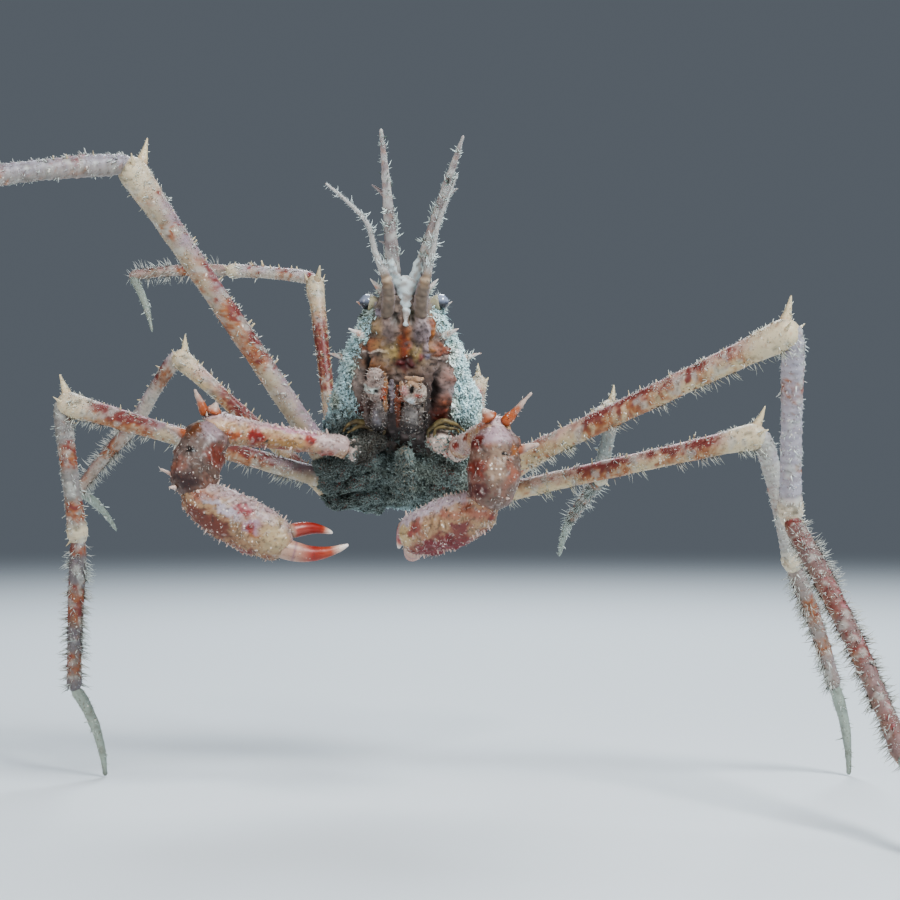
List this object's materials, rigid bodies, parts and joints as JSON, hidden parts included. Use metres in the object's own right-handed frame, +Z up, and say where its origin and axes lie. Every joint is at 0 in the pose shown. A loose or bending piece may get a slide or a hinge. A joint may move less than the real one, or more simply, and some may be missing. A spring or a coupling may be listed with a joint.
{
  "type": "spider crab",
  "caption": "Life-size standing spider crab with a woolly pear-shaped carapace, long forked rostral spines, two claws and long banded legs.",
  "frame": {"origin": "on the floor, under the middle of the model's box", "axes": "+Z up, -Y the way the crab faces, +X the crab's left, along its widest reach of legs"},
  "size_m": [0.271, 0.2529, 0.1784],
  "materials": {
    "wool": "pale mint wool with dark specks",
    "underside": "grey-green wool with dark specks",
    "shell": "matt shell, cream and pinkish brown",
    "banded": "matt shell, cream with brick-red bands",
    "bone": "pale smooth shell",
    "claw": "salmon shell with small pale grains",
    "finger": "glossy red with white tips",
    "cornea": "glossy blue-black eye"
  },
  "bodies": {
    "root": {"carapace": "wool", "thorax": "underside", "pleon": "bone", "maxilliped_left": "shell", "rostral_spine_left": "bone", "eye_left": "cornea", "antenna_left": "bone", "claw_left_merus": "banded", "claw_left_carpus": "claw", "claw_left_palm": "claw", "claw_left_finger": "finger", "leg1_left_merus": "banded", "leg1_left_carpus": "banded", "leg1_left_propodus": "shell", "leg1_left_dactylus": "shell", "leg2_left_merus": "banded", "leg2_left_carpus": "banded", "leg2_left_propodus": "shell", "leg2_left_dactylus": "shell", "leg3_left_merus": "banded", "leg3_left_carpus": "banded", "leg3_left_propodus": "shell", "leg3_left_dactylus": "shell", "leg4_left_merus": "banded", "leg4_left_carpus": "banded", "leg4_left_propodus": "shell", "leg4_left_dactylus": "shell", "maxilliped_right": "shell", "rostral_spine_right": "bone", "eye_right": "cornea", "antenna_right": "bone", "claw_right_merus": "banded", "claw_right_carpus": "claw", "claw_right_palm": "claw", "claw_right_finger": "finger", "leg1_right_merus": "banded", "leg1_right_carpus": "banded", "leg1_right_propodus": "shell", "leg1_right_dactylus": "shell", "leg2_right_merus": "banded", "leg2_right_carpus": "banded", "leg2_right_propodus": "shell", "leg2_right_dactylus": "shell", "leg3_right_merus": "banded", "leg3_right_carpus": "banded", "leg3_right_propodus": "shell", "leg3_right_dactylus": "shell", "leg4_right_merus": "banded", "leg4_right_carpus": "banded", "leg4_right_propodus": "shell", "leg4_right_dactylus": "shell"}
  },
  "joints": []
}
